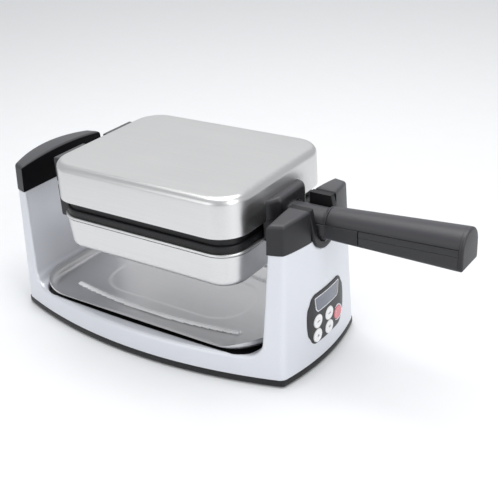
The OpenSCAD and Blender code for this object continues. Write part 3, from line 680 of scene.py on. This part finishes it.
def makeLiner():
    x0, x1, edge = cradle["x0"], cradle["x1"], cradle["edge"]
    ends = [(inset, x0 + edge - up) for inset, up in reversed(shoulder(edge, 3))]
    ends += [(inset, x1 - edge + up) for inset, up in shoulder(edge, 3)]
    rings = []
    for inset, x in ends:
        outer = notchOutline(cradle["outer"] - inset, cradle["top"] - inset)
        inner = notchOutline(cradle["inner"] + inset, cradle["top"] - inset)
        back = max(0, (x - x0) / (x1 - x0)) * cradle["legBack"]
        rings.append([Vector((x - back * easeBetween(p.y, cradle["legLow"], cradle["legHigh"]), p.x, p.y))
                      for p in outer + inner[::-1]])
    loftPiece("cradle", "cradle_liner", rings)


makeCap("left_cap", "left_post_cap", True)
makeCap("front_horn", "right_front_cap", False, -1, cap["hornFrom"])
makeCap("rear_horn", "right_rear_cap", False, 1, cap["hornFrom"])
makeLiner()
print("post caps and cradle made")


def panelOutline(inset=0):  # as facing pairs, from the front edge round the low side
    corner = panel["corner"] - inset
    side = panel["width"] / 2
    sideR = panel["sideR"] - inset
    cornerX = side - panel["sideIn"] - panel["corner"]
    z0 = panel["low"] + panel["corner"]
    z1 = panel["low"] + panel["height"] - panel["corner"]
    bulge = math.asin((z1 - z0) / 2 / panel["sideR"])
    low = []
    for a in spread(0, bulge * 0.8, 5):
        reach = side - panel["sideR"] + sideR * math.cos(a)
        low.append(Vector((reach, (z0 + z1) / 2 - sideR * math.sin(a))))
    for a in spread(bulge, math.pi / 2, 7):
        low.append(Vector((cornerX + corner * math.cos(a), z0 - corner * math.sin(a))))
    left = [Vector((-p.x, p.y)) for p in low[1:]]
    across = [Vector((x, low[-1].y)) for x in spread(-cornerX, cornerX, 16)[1:-1]]
    path = left + across + low[:0:-1]
    high = [Vector((p.x, z0 + z1 - p.y)) for p in path]
    return path + high[::-1]


def makeBezel():
    bm = bmesh.new()
    edge = 0.8
    profile = [(0, -4)] + [(inset, panel["proud"] - edge + up) for inset, up in shoulder(edge, 4)]
    loft(bm, [[Vector((faceX(p.x, grow), p.x, p.y)) for p in panelOutline(inset)]
              for inset, grow in profile])
    piece = rawPiece("control_bezel", bm)
    cut(piece, buttonWells)
    dress(piece, "panel_bezel", deepPlastic, 40)


def windowRing(inset, grow):
    # wider at the top, with the low corners rounder; points in pairs that share their y
    low, top = panel["windowLow"] + inset, panel["windowTop"] - inset
    half = panel["windowHalf"] - inset
    ring = []
    for k in range(33):
        y = -math.cos(math.pi * k / 32)
        drop = 4.2 * (1 - min(1, (1 - abs(y)) / 0.16)) ** 2
        bottom = Vector((y * (half - panel["windowIn"] * (1 - abs(y) ** 8 * 0.4)), low + drop))
        ring.append((bottom, Vector((y * half, top - 0.9 * (1 - min(1, (1 - abs(y)) / 0.04)) ** 2))))
    path = [b for b, t in ring] + [t for b, t in reversed(ring)]
    return [Vector((faceX(p.x, grow), p.x, p.y)) for p in path]


def makeWindow():
    loftPiece("display_cover", "display_window",
              [windowRing(*step) for step in ((0.2, -1.1), (0.2, 1.0), (0.4, 1.15))])
    edge = [windowRing(*step) for step in ((0, 0.5), (0, 1.35), (0.75, 1.35), (0.75, 0.5))]
    loftPiece("display_outline", "display_window", edge, True, material=whiteLine, stands=False)


def lathed(profile, y, z):  # rings round a line along X
    return [[Vector((x, p.x, p.y)) for p in circleOf(radius, y, z)] for radius, x in profile]


marks = {  # small raised signs on the buttons: which way each pointer looks, or a bar
    "button_select": "bar", "button_browning": "bar", "button_up": "up", "button_down": "down",
}
signs = {
    "bar": [(-2.4, -0.45), (2.4, -0.45), (2.4, 0.45), (-2.4, 0.45)],
    "up": [(-1.7, -1.1), (1.7, -1.1), (0, 1.5)],
    "down": [(-1.7, 1.1), (0, -1.5), (1.7, 1.1)],
}


def makeButton(node):
    y, up = buttons[node]
    z = panel["low"] + up
    back, face = boxOf(node)[0].x, boxOf(node)[1].x
    radius, edge, stem = panel["buttonR"], panel["buttonEdge"], panel["stemR"]
    profile = [(stem, back), (stem, back + 2.8), (radius, back + 3), (radius, face - edge)]
    profile += [(radius - inset, face - edge + rise) for inset, rise in shoulder(edge, 5)]
    profile += [(4.5, face - 0.12), (2.2, face - 0.25), (0.4, face - 0.28)]
    loftPiece(node + "_cap", node, lathed(profile, y, z), sharp=50)
    if node not in marks:
        return
    bm = bmesh.new()
    prism(bm, [Vector((y + p[0], z + p[1])) for p in signs[marks[node]]], "x", face - 0.6, face - 0.05)
    dress(rawPiece(node + "_mark", bm), node, greyMark, stands=False)


def makeButtonRing():  # the pale ring round the power button
    y, up = buttons["button_power"]
    top = faceX(y, panel["proud"] + 0.35)
    profile = [(7.62, top - 2), (7.62, top - 0.3), (7.9, top), (8.6, top), (8.9, top - 0.3),
               (8.9, top - 2)]
    loftPiece("power_ring", "panel_bezel", lathed(profile, y, panel["low"] + up), True,
              material=whiteLine, stands=False)


makeBezel()
makeWindow()
for buttonName in buttons:
    makeButton(buttonName)
makeButtonRing()
print("panel made")


head = {"x": 20.8, "width": 233.6, "depth": 177.4, "corner": 31, "shoulder": 8, "sheet": 1,
        "steps": 12, "lidLean": 0.5, "panLean": 2.4, "parting": 157, "rimZ": 138.9, "rimIn": 3,
        "panCorner": 29, "ledge": 2.5, "gap": 0.6}


def makeCover(name, node, corner, leanIn, up):
    low, high = boxOf(node)
    w, d, h = high - low
    openZ = low.z if up > 0 else high.z
    bm = bmesh.new()
    sides = []
    for inward in (0, head["sheet"]):
        height, radius = h - inward, head["shoulder"] - inward
        profile = [(0, 0), (leanIn * 0.5, (height - radius) * 0.5)]
        profile += [(leanIn + a, height - radius + b) for a, b in shoulder(radius, 9)]
        rings = []
        for inset, z in profile:
            ring = roundedRect(w - 2 * (inset + inward), d - 2 * (inset + inward),
                               max(corner - inset - inward, 5), head["steps"])
            rings.append([Vector((head["x"] + p.x, p.y, openZ + up * z)) for p in ring])
        sides.append(loft(bm, rings, capStart=False)[0])
    bridge(bm, *sides)  # the edge of the sheet
    dress(rawPiece(name, bm), node)


def makeBand(name, node, profile, w, d, corner):
    # a closed profile of insets and heights, carried round the head
    rings = []
    for p in profile:
        ring = roundedRect(w - 2 * p.x, d - 2 * p.x, max(corner - p.x, 3), head["steps"])
        rings.append([Vector((head["x"] + q.x, q.y, p.y)) for q in ring])
    loftPiece(name, node, rings, True)


def makeHead():
    makeCover("lid_cover", "upper_cover", head["corner"], head["lidLean"], 1)
    makeCover("pan_cover", "lower_cover", head["panCorner"], head["panLean"], -1)
    rimZ, parting, ledge, gap = (head[k] for k in ("rimZ", "parting", "ledge", "gap"))
    rimSize = (head["width"] - 2 * head["rimIn"], head["depth"] - 2 * head["rimIn"], head["panCorner"])
    rim = [(0, rimZ - 2.9), (6, rimZ - 2.9), (6, rimZ), (0, rimZ)]
    makeBand("pan_rim", "lower_rim", roundPoly(rim, [0.8, 0.4, 0.4, 1.2]), *rimSize)
    lower = [(2.2, rimZ), (12, rimZ), (12, parting - gap), (6, parting - gap),
             (6, rimZ + 3 * ledge), (2.2, rimZ + 3 * ledge)]
    makeBand("pan_band", "lower_frame", roundPoly(lower, [0.3, 0.3, 0.5, 1, 0.8, 2]), *rimSize)
    low, top = parting + gap, boxOf("upper_frame")[1].z
    upper = [(1.8, low), (13, low), (13, low + ledge), (12.6, low + ledge), (12.6, top - ledge),
             (19, top - ledge), (19, top), (1.8, top), (1.8, top - ledge), (9, top - ledge),
             (9, low + ledge), (1.8, low + ledge)]
    makeBand("lid_band", "upper_frame", roundPoly(upper, 0.18, 2), head["width"], head["depth"],
             head["corner"])


makeHead()
print("head made")


tray = {"width": 293, "depth": 168, "corner": 42, "sheet": 0.8, "floorZ": 31.6, "flange": 10.4,
        "bend": 8, "lip": 3, "flangeFrom": 96, "flangeTo": 140, "bead": 2.2, "beadWidth": 2.3,
        "beadX": 108, "beadY": 49.5, "beadBow": 10.5, "stepX": 92, "stepY": 40, "stepR": 35,
        "stepDown": 0.5, "cornerSteps": 16, "longSteps": 70, "shortSteps": 28}


def roundedDistance(x, y, halfX, halfY, radius):  # from a rounded rectangle's edge
    dx, dy = abs(x) - halfX + radius, abs(y) - halfY + radius
    return math.hypot(max(dx, 0), max(dy, 0)) + min(max(dx, dy), 0) - radius


def beadHeight(x, y):
    bow = tray["beadY"] + tray["beadBow"] * (1 - (x / tray["beadX"]) ** 2)
    beyond = max(0, abs(x) - tray["beadX"])
    away = math.hypot(abs(y) - bow, beyond)
    return tray["bead"] * math.exp(-(away / tray["beadWidth"]) ** 2)


def trayFloor(x, y):
    inside = roundedDistance(x, y, tray["stepX"], tray["stepY"], tray["stepR"])
    return beadHeight(x, y) - tray["stepDown"] * (1 - easeBetween(inside, -2.5, 1.5))


def trayOutline():  # points round the tray's edge, each with the way that its side faces
    r = tray["corner"]
    reach = Vector((tray["width"] / 2 - r, tray["depth"] / 2 - r))
    outline = []
    for sx, sy, first in ((1, 1, 0), (-1, 1, 90), (-1, -1, 180), (1, -1, 270)):
        for degrees in spread(first, first + 90, tray["cornerSteps"] + 1):
            turn = math.radians(degrees)
            n = Vector((math.cos(turn), math.sin(turn)))
            outline.append((Vector((sx * reach.x, sy * reach.y)) + r * n, n))
        steps = tray["longSteps"] if sx == sy else tray["shortSteps"]
        side = Vector((-2 * reach.x, 0)) if sx == sy else Vector((0, 2 * reach.y))
        start, n = outline[-1]
        outline += [(start + side * sx * k / steps, n) for k in range(1, steps)]
    return outline


def makeTray():
    outline = trayOutline()
    halfX, halfY, bend = tray["width"] / 2, tray["depth"] / 2, tray["bend"]
    top, plainFrom = tray["floorZ"] + tray["sheet"], tray["corner"] - 0.2
    rings = []
    for t in spread(1, 0, 8):  # down the flange and round the bend
        ring = []
        for p, n in outline:
            share = easeBetween(abs(p.x), tray["flangeFrom"], tray["flangeTo"])
            height = mix(tray["lip"], tray["flange"], share)
            angle = math.acos(1 - min(height, bend) / bend)
            straight = max(0.0, height - bend) * max(0.0, (t - 0.85) / 0.15)
            spot = p - n * (bend - bend * math.sin(angle * t))
            ring.append(Vector((*spot, top + bend * (1 - math.cos(angle * t)) + straight)))
        rings.append(ring)
    for inset in spread(bend + 0.4, min(halfX, halfY) - 0.4, 66):
        ring = []
        for p, n in outline:
            spot = p - n * min(inset, plainFrom)
            if inset > plainFrom:  # past the corner's centre the ring goes on as a plain rectangle
                spot = Vector((max(inset - halfX, min(halfX - inset, spot.x)),
                               max(inset - halfY, min(halfY - inset, spot.y))))
            ring.append(Vector((*spot, top + trayFloor(*spot))))
        rings.append(ring)
    bm = bmesh.new()
    bm.faces.new(loft(bm, rings, capStart=False, capEnd=False)[-1])
    piece = rawPiece("tray_pan", bm)
    if piece.data.polygons[len(piece.data.polygons) // 2].normal.z < 0:
        piece.data.flip_normals()
    modify(piece, "SOLIDIFY", thickness=tray["sheet"] * mm, offset=-1, use_even_offset=True)
    bake(piece)
    dress(piece, "drip_tray", sharp=50)
    piece.data.materials.append(beadHighlightSteel)
    for face in piece.data.polygons:  # painted highlight: the beads' upward faces get a brighter, rougher steel that stands in for the light they catch
        x, y = (face.center.x - baseX) / mm, face.center.y / mm
        if face.normal.z > 0 and beadHeight(x, y) > 0.3:
            face.material_index = 1


makeTray()
print("tray made")


handle = {
    "x0": 150, "journalEnd": 186.1, "gripStart": 192, "lowerStart": 226, "end": 328, "cap": 4,
    "journalR": 16, "r0": 14.4, "r1": 18.3, "bottom": 141, "bottomRise": 1, "seam": 157,
    "seamRise": 7.5, "seamRun": 151.9, "seamDrop": 6.5, "sideRound": 4.6, "edge": 0.4, "endRound": 0.45,
    "blockHalf": 24, "blockWide": 31.5, "blockUp": 23, "blockDown": 26, "blockRound": 4.5,
}


def shareAlong(x):
    return max(0.0, (x - handle["gripStart"]) / (handle["end"] - handle["gripStart"]))


def seamAt(x):
    return handle["seam"] + handle["seamRise"] * max(0, x - handle["journalEnd"]) / handle["seamRun"]


def gripLimits(x):  # the bottom and the top of the whole handle
    share = shareAlong(x)
    radius = mix(handle["r0"], handle["r1"], share)
    low = handle["bottom"] + handle["bottomRise"] * share
    return low, low + 2 * radius


def halfWidth(x, z):
    # a round journal becomes a round top over a flat bottom
    low, top = gripLimits(x)
    radius = (top - low) / 2
    centre = low + radius
    flatSide = radius
    if z > centre:
        flatSide = math.sqrt(max(0, radius ** 2 - (z - centre) ** 2))
    elif z < low + handle["sideRound"]:
        drop = low + handle["sideRound"] - z
        flatSide = radius - handle["sideRound"] + math.sqrt(max(0, handle["sideRound"] ** 2 - drop ** 2))
    turn = easeBetween(x, handle["journalEnd"], handle["gripStart"])
    journal = math.sqrt(max(0, handle["journalR"] ** 2 - (z - axisZ) ** 2))
    return mix(journal, flatSide, turn)


def handleRing(x, low, high, inset, sharpLow, sharpHigh):
    # levels crowd towards both ends; a cut edge is eased, a round end is left as it is
    ring = []
    edge = handle["edge"]
    for k in range(19):
        level = (1 - math.cos(math.pi * k / 18)) / 2
        z = mix(low + inset * sharpLow, high - inset, level)
        half = halfWidth(x, z) - inset
        for distance, sharp in ((z - low, sharpLow), (high - z, sharpHigh)):
            if sharp and distance < edge:
                half -= edge - math.sqrt(max(0, edge ** 2 - (edge - distance) ** 2))
        ring.append(Vector((max(half, 0.05), z)))
    right = [Vector((x, p.x, p.y)) for p in ring]
    return right + [Vector((x, -p.x, p.y)) for p in reversed(ring)]


def handlePart(name, node, stations, limits, sharpLow=True, sharpHigh=True, material=None):
    # one length of the handle between two levels, with eased ends
    start, end, endRound = stations[0], stations[-1], handle["endRound"]
    eased = [(start + endRound - up, inset) for inset, up in reversed(shoulder(endRound, 4))]
    eased += [(x, 0) for x in stations[1:-1]]
    eased += [(end - endRound + up, inset) for inset, up in shoulder(endRound, 4)]
    rings = [handleRing(x, *limits(x), inset, sharpLow, sharpHigh) for x, inset in eased]
    loftPiece(name, node, rings, material=material, sharp=40)


def outerAt(x, side):  # the underside (-1) or the top (1) of the whole handle, journal and grip
    turn = easeBetween(x, handle["journalEnd"], handle["gripStart"])
    return mix(axisZ + side * handle["journalR"], gripLimits(x)[side > 0], turn)


def makeHandle():
    gap, drop = 0.2, handle["seamDrop"]
    change = spread(handle["journalEnd"], handle["gripStart"], 7)
    start, grip, lower, end = (handle[k] for k in ("x0", "gripStart", "lowerStart", "end"))
    capStart = end - handle["cap"]
    below = [lower + 0.7] + spread(234, 316, 6) + [capStart - 0.1]
    handlePart("lower_arm", "lower_handle_arm", [start - 1] + change + [210, lower],
               lambda x: (outerAt(x, -1), seamAt(x) - gap), False, True)
    handlePart("upper_arm", "upper_handle_arm", [start - 1] + change[:-1] + [grip - 0.1],
               lambda x: (seamAt(x) + gap, outerAt(x, 1)), True, False)
    handlePart("upper_grip_shell", "upper_grip", [grip + 0.5] + spread(200, 316, 8) + [capStart],
               lambda x: (seamAt(x) + gap, outerAt(x, 1)), True, False)
    handlePart("lower_grip_band", "lower_grip", below,
               lambda x: (seamAt(x) - drop, seamAt(x) - gap), material=deepPlastic)
    handlePart("lower_grip_under", "lower_grip_cover", below,
               lambda x: (outerAt(x, -1), seamAt(x) - drop), False, True, material=deepPlastic)
    eased = [(capStart + 0.05, 0.15)] + [(end - 3 + up, inset) for inset, up in shoulder(3, 7)]
    rings = [handleRing(x, outerAt(x, -1), outerAt(x, 1), inset, True, False) for x, inset in eased]
    loftPiece("grip_end", "grip_end_cap", rings, sharp=40)


def makeBlock(name, node, innerX, near, far, up):
    # a chunky block with sloping shoulders that carries one half of the handle
    radius = handle["blockRound"]
    stations = [(innerX, 0), (innerX + 1, 0), (mix(innerX, handle["x0"], 0.45), 0)]
    stations += [(handle["x0"] - radius + rise, inset) for inset, rise in shoulder(radius, 6)]
    rings = []
    for x, inset in stations:
        slope = easeBetween(x, innerX + 1, handle["x0"] - 2)
        w = mix(handle["blockWide"], handle["blockHalf"], slope) - inset
        end = far - up * (inset + 2.4 * (1 - slope))
        ring = roundPoly([(-w, near), (w, near), (w, end), (-w, end)], [0.6, 0.6, 5, 5], 5)
        rings.append([Vector((x, p.x, p.y)) for p in startOnLeft(ring)])
    loftPiece(name, node, rings, sharp=38, stands=False)


def startOnLeft(ring):  # turns a symmetric ring so that facing points share their height
    best = min(range(len(ring)), key=lambda i: (round(ring[i].y, 3), ring[i].x))
    turned = ring[best:] + ring[:best]
    return turned[len(turned) // 4:] + turned[:len(turned) // 4]


makeHandle()
headRight = head["x"] + head["width"] / 2
lowerStart, upperStart = head["parting"] - 0.4, head["parting"] + 0.2
makeBlock("upper_block", "upper_handle_arm", headRight - 0.5, upperStart,
          head["parting"] + handle["blockUp"], 1)
makeBlock("lower_block", "lower_handle_arm", headRight - head["rimIn"] - 0.5, lowerStart,
          lowerStart - handle["blockDown"], -1)
print("handle made")


for node, voxel, rounds in (("lower_hinge", 0.9, 4), ("upper_hinge", 0.9, 4), ("cord_gland", 0.5, 3)):
    softCopy(node, voxel, rounds)
print("hinge and gland made")


class Growth(NodeMaker):  # one geometry tree with named inputs
    def __init__(self, name, kinds):
        self.tree = bpy.data.node_groups.new(name, "GeometryNodeTree")
        face = self.tree.interface
        for label, kind in {"Geometry": "Geometry", **kinds}.items():
            face.new_socket(label, in_out="INPUT", socket_type="NodeSocket" + kind)
        face.new_socket("Geometry", in_out="OUTPUT", socket_type="NodeSocketGeometry")
        self.start = self.tree.nodes.new("NodeGroupInput")

    def size(self, label):
        return Wire(self.tree, self.start.outputs[label])

    def finish(self, geometry, material, joined=()):
        geometry = self.node("GeometryNodeRealizeInstances", Geometry=geometry)
        if joined:
            join = self.tree.nodes.new("GeometryNodeJoinGeometry")
            for part in (geometry, *joined):
                self.tree.links.new(part.socket, join.inputs[0])
            geometry = Wire(self.tree, join.outputs[0])
        painted = self.node("GeometryNodeSetMaterial", Geometry=geometry, Material=material)
        end = self.tree.nodes.new("NodeGroupOutput")
        self.tree.links.new(painted.socket, end.inputs[0])
        return self.tree


def grow(piece, tree, **sizes):  # runs a tree on a piece and leaves a plain mesh
    modifier = piece.modifiers.new("growth", "NODES")
    modifier.node_group = tree
    for item in tree.interface.items_tree:
        label = item.name.replace(" ", "_")
        if item.in_out == "INPUT" and label in sizes:
            modifier[item.identifier] = sizes[label]
    bake(piece)


def studTree():
    g = Growth("waffle_studs", {
        "Pitch": "Float", "Stud Width": "Float", "Stud Height": "Float", "Columns": "Int",
        "Rows": "Int", "Middle": "Vector", "Face": "Float",
    })
    grid = g.node("GeometryNodeMeshGrid", Size_X=(g.size("Columns") - 1) * g.size("Pitch"),
                  Size_Y=(g.size("Rows") - 1) * g.size("Pitch"),
                  Vertices_X=g.size("Columns"), Vertices_Y=g.size("Rows"))
    toCorner = g.size("Stud Width") * 0.7071  # from the middle of a square stud
    stud = g.node("GeometryNodeMeshCone", Vertices=4, Radius_Top=toCorner * 0.8, Radius_Bottom=toCorner,
                  Depth=g.size("Stud Height"))
    square = g.node("GeometryNodeTransform", Geometry=stud, Rotation=(0, 0, math.pi / 4))
    spots = g.node("GeometryNodeInstanceOnPoints", Points=grid, Instance=square)
    stretch = g.node("ShaderNodeCombineXYZ", X=1.0, Y=1.0, Z=g.size("Face"))
    placed = g.node("GeometryNodeTransform", Geometry=spots, Translation=g.size("Middle"),
                    Scale=stretch)
    return g.finish(placed, finishes["coated_cast"], [g.size("Geometry")])


def ringTree():  # copies of the given piece at every corner of a grid
    g = Growth("repeated_piece", {"Spread X": "Float", "Spread Y": "Float", "Middle": "Vector",
                                  "Finish": "Material"})
    grid = g.node("GeometryNodeMeshGrid", Size_X=g.size("Spread X"), Size_Y=g.size("Spread Y"),
                  Vertices_X=2, Vertices_Y=2)
    spots = g.node("GeometryNodeInstanceOnPoints", Points=grid, Instance=g.size("Geometry"))
    placed = g.node("GeometryNodeTransform", Geometry=spots, Translation=g.size("Middle"))
    return g.finish(placed, g.size("Finish"))


plate = {"floor": 3, "corner": 19, "pitch": 20, "stud": 11.5, "rim": 8, "ridge": 1.6, "ridgeDown": 1.5}


def makePlate(name, node, up):
    low, high = boxOf(node)
    w, d, h = high - low
    back = low.z if up > 0 else high.z
    profile = [(0.6, 0), (0, 0.6), (0, h - 1), (0.3, h - 0.3), (1, h), (3, h), (3.7, h - 0.3),
               (4, h - 1), (4, plate["floor"] + 3), (4.9, plate["floor"] + 0.9), (7, plate["floor"])]
    rings = []
    for inset, z in profile:
        ring = roundedRect(w - 2 * inset, d - 2 * inset, max(plate["corner"] - inset, 6), 8)
        rings.append([Vector((head["x"] + p.x, p.y, back + up * z)) for p in ring])
    bm = bmesh.new()
    loft(bm, rings)
    ridge, ridgeTop = plate["ridge"], h - plate["ridgeDown"]
    for halfX, halfY in ((ridge, d / 2 - 3), (w / 2 - 3, ridge)):
        # the ridges between the four waffles narrow towards their tops
        rings = []
        for inset, z in ((0, plate["floor"] - 0.5), (0, ridgeTop - 3), (0.5, ridgeTop - 0.4),
                         (0.9, ridgeTop)):
            box = rectangle(2 * (halfX - inset), 2 * (halfY - inset))
            rings.append([Vector((head["x"] + p[0], p[1], back + up * z)) for p in box])
        loft(bm, rings)
    piece = rawPiece(name, bm)
    piece.data.materials.append(finishes["coated_cast"])
    studHeight = h - plate["floor"] - 3
    columns, rows = (int((size - 2 * plate["rim"]) // plate["pitch"]) for size in (w, d))
    middle = (head["x"] * mm + baseX, 0, (back + up * (plate["floor"] - 0.3 + studHeight / 2)) * mm)
    grow(piece, studTree(), Pitch=plate["pitch"] * mm, Stud_Width=plate["stud"] * mm,
         Stud_Height=studHeight * mm, Columns=columns, Rows=rows, Middle=middle, Face=float(up))
    modify(piece, "BEVEL", width=0.7 * mm, segments=2, angle_limit=math.radians(50))
    bake(piece)
    dress(piece, node, sharp=40)


def repeatPiece(name, node, profile, spreadX, spreadY, up):
    # a small turned piece, made once about its own upright axis and then set at four spots
    bm = bmesh.new()
    loft(bm, [[Vector((p.x, p.y, z)) for p in circleOf(radius, 0, 0, 28)] for radius, z in profile])
    piece = rawPiece(name, bm, 0)
    grow(piece, ringTree(), Spread_X=spreadX * mm, Spread_Y=spreadY * mm,
         Middle=(baseX, 0, up * mm), Finish=finishes[slotOf[node]])
    dress(piece, node)


makePlate("lower_waffle_plate", "lower_plate", 1)
makePlate("upper_waffle_plate", "upper_plate", -1)
foot = {"spreadX": 300, "spreadY": 112,
        "profile": [(7.6, 0), (8.6, 0.25), (9, 0.9), (9, 2.6), (0.5, 2.6)]}
screw = {"spreadX": 258, "spreadY": 78.4, "up": 1.4,
         "profile": [(0.5, 0.1), (2.7, 0.1), (3, 0.5), (3, 1.4), (2.6, 1.7), (1.4, 1.6), (1.3, 1.1),
                     (0.4, 1.1)]}
repeatPiece("feet", "rubber_feet", foot["profile"], foot["spreadX"], foot["spreadY"], 0)
repeatPiece("bottom_screws", "base_screws", screw["profile"], screw["spreadX"], screw["spreadY"],
            screw["up"])
print("plates, feet and screws made")


floorMesh = bpy.data.meshes.new("floor")
floorMesh.from_pydata([(x, y, 0) for x, y in rectangle(12, 12)], [], [(0, 1, 2, 3)])
floorMesh.materials.append(evenFinish("floor_paper", (0.86, 0.87, 0.88), (0.84, 0.85, 0.86),
                                      0.0, 0.6, 30))
linked("floor", floorMesh)
